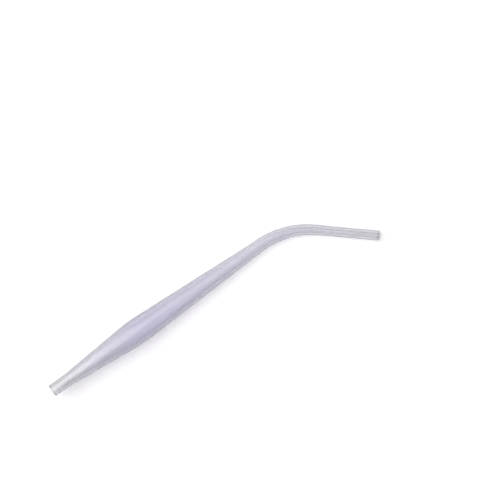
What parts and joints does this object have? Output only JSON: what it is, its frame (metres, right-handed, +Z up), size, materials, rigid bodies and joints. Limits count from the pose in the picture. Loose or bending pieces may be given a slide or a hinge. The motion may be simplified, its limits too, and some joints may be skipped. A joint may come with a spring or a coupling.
{
  "type": "yankauer suction tip",
  "caption": "Rigid oral suction tip: one hollow plastic tube with a hose connector, a swollen grip, a long taper, a single bend and a short straight tip with a plain round opening.",
  "frame": {"origin": "centre of the lying tube's bounding box in plan, on the surface that it lies on", "axes": "+X along the handle as seen from above, from the hose connector towards the bend; +Z up; the tip bends towards -Y"},
  "size_m": [0.2672, 0.0578, 0.0199],
  "materials": {
    "milky_plastic": "smooth moulded, milky translucent, faintly lavender"
  },
  "bodies": {
    "root": {"suction_tip": "milky_plastic"}
  },
  "joints": []
}
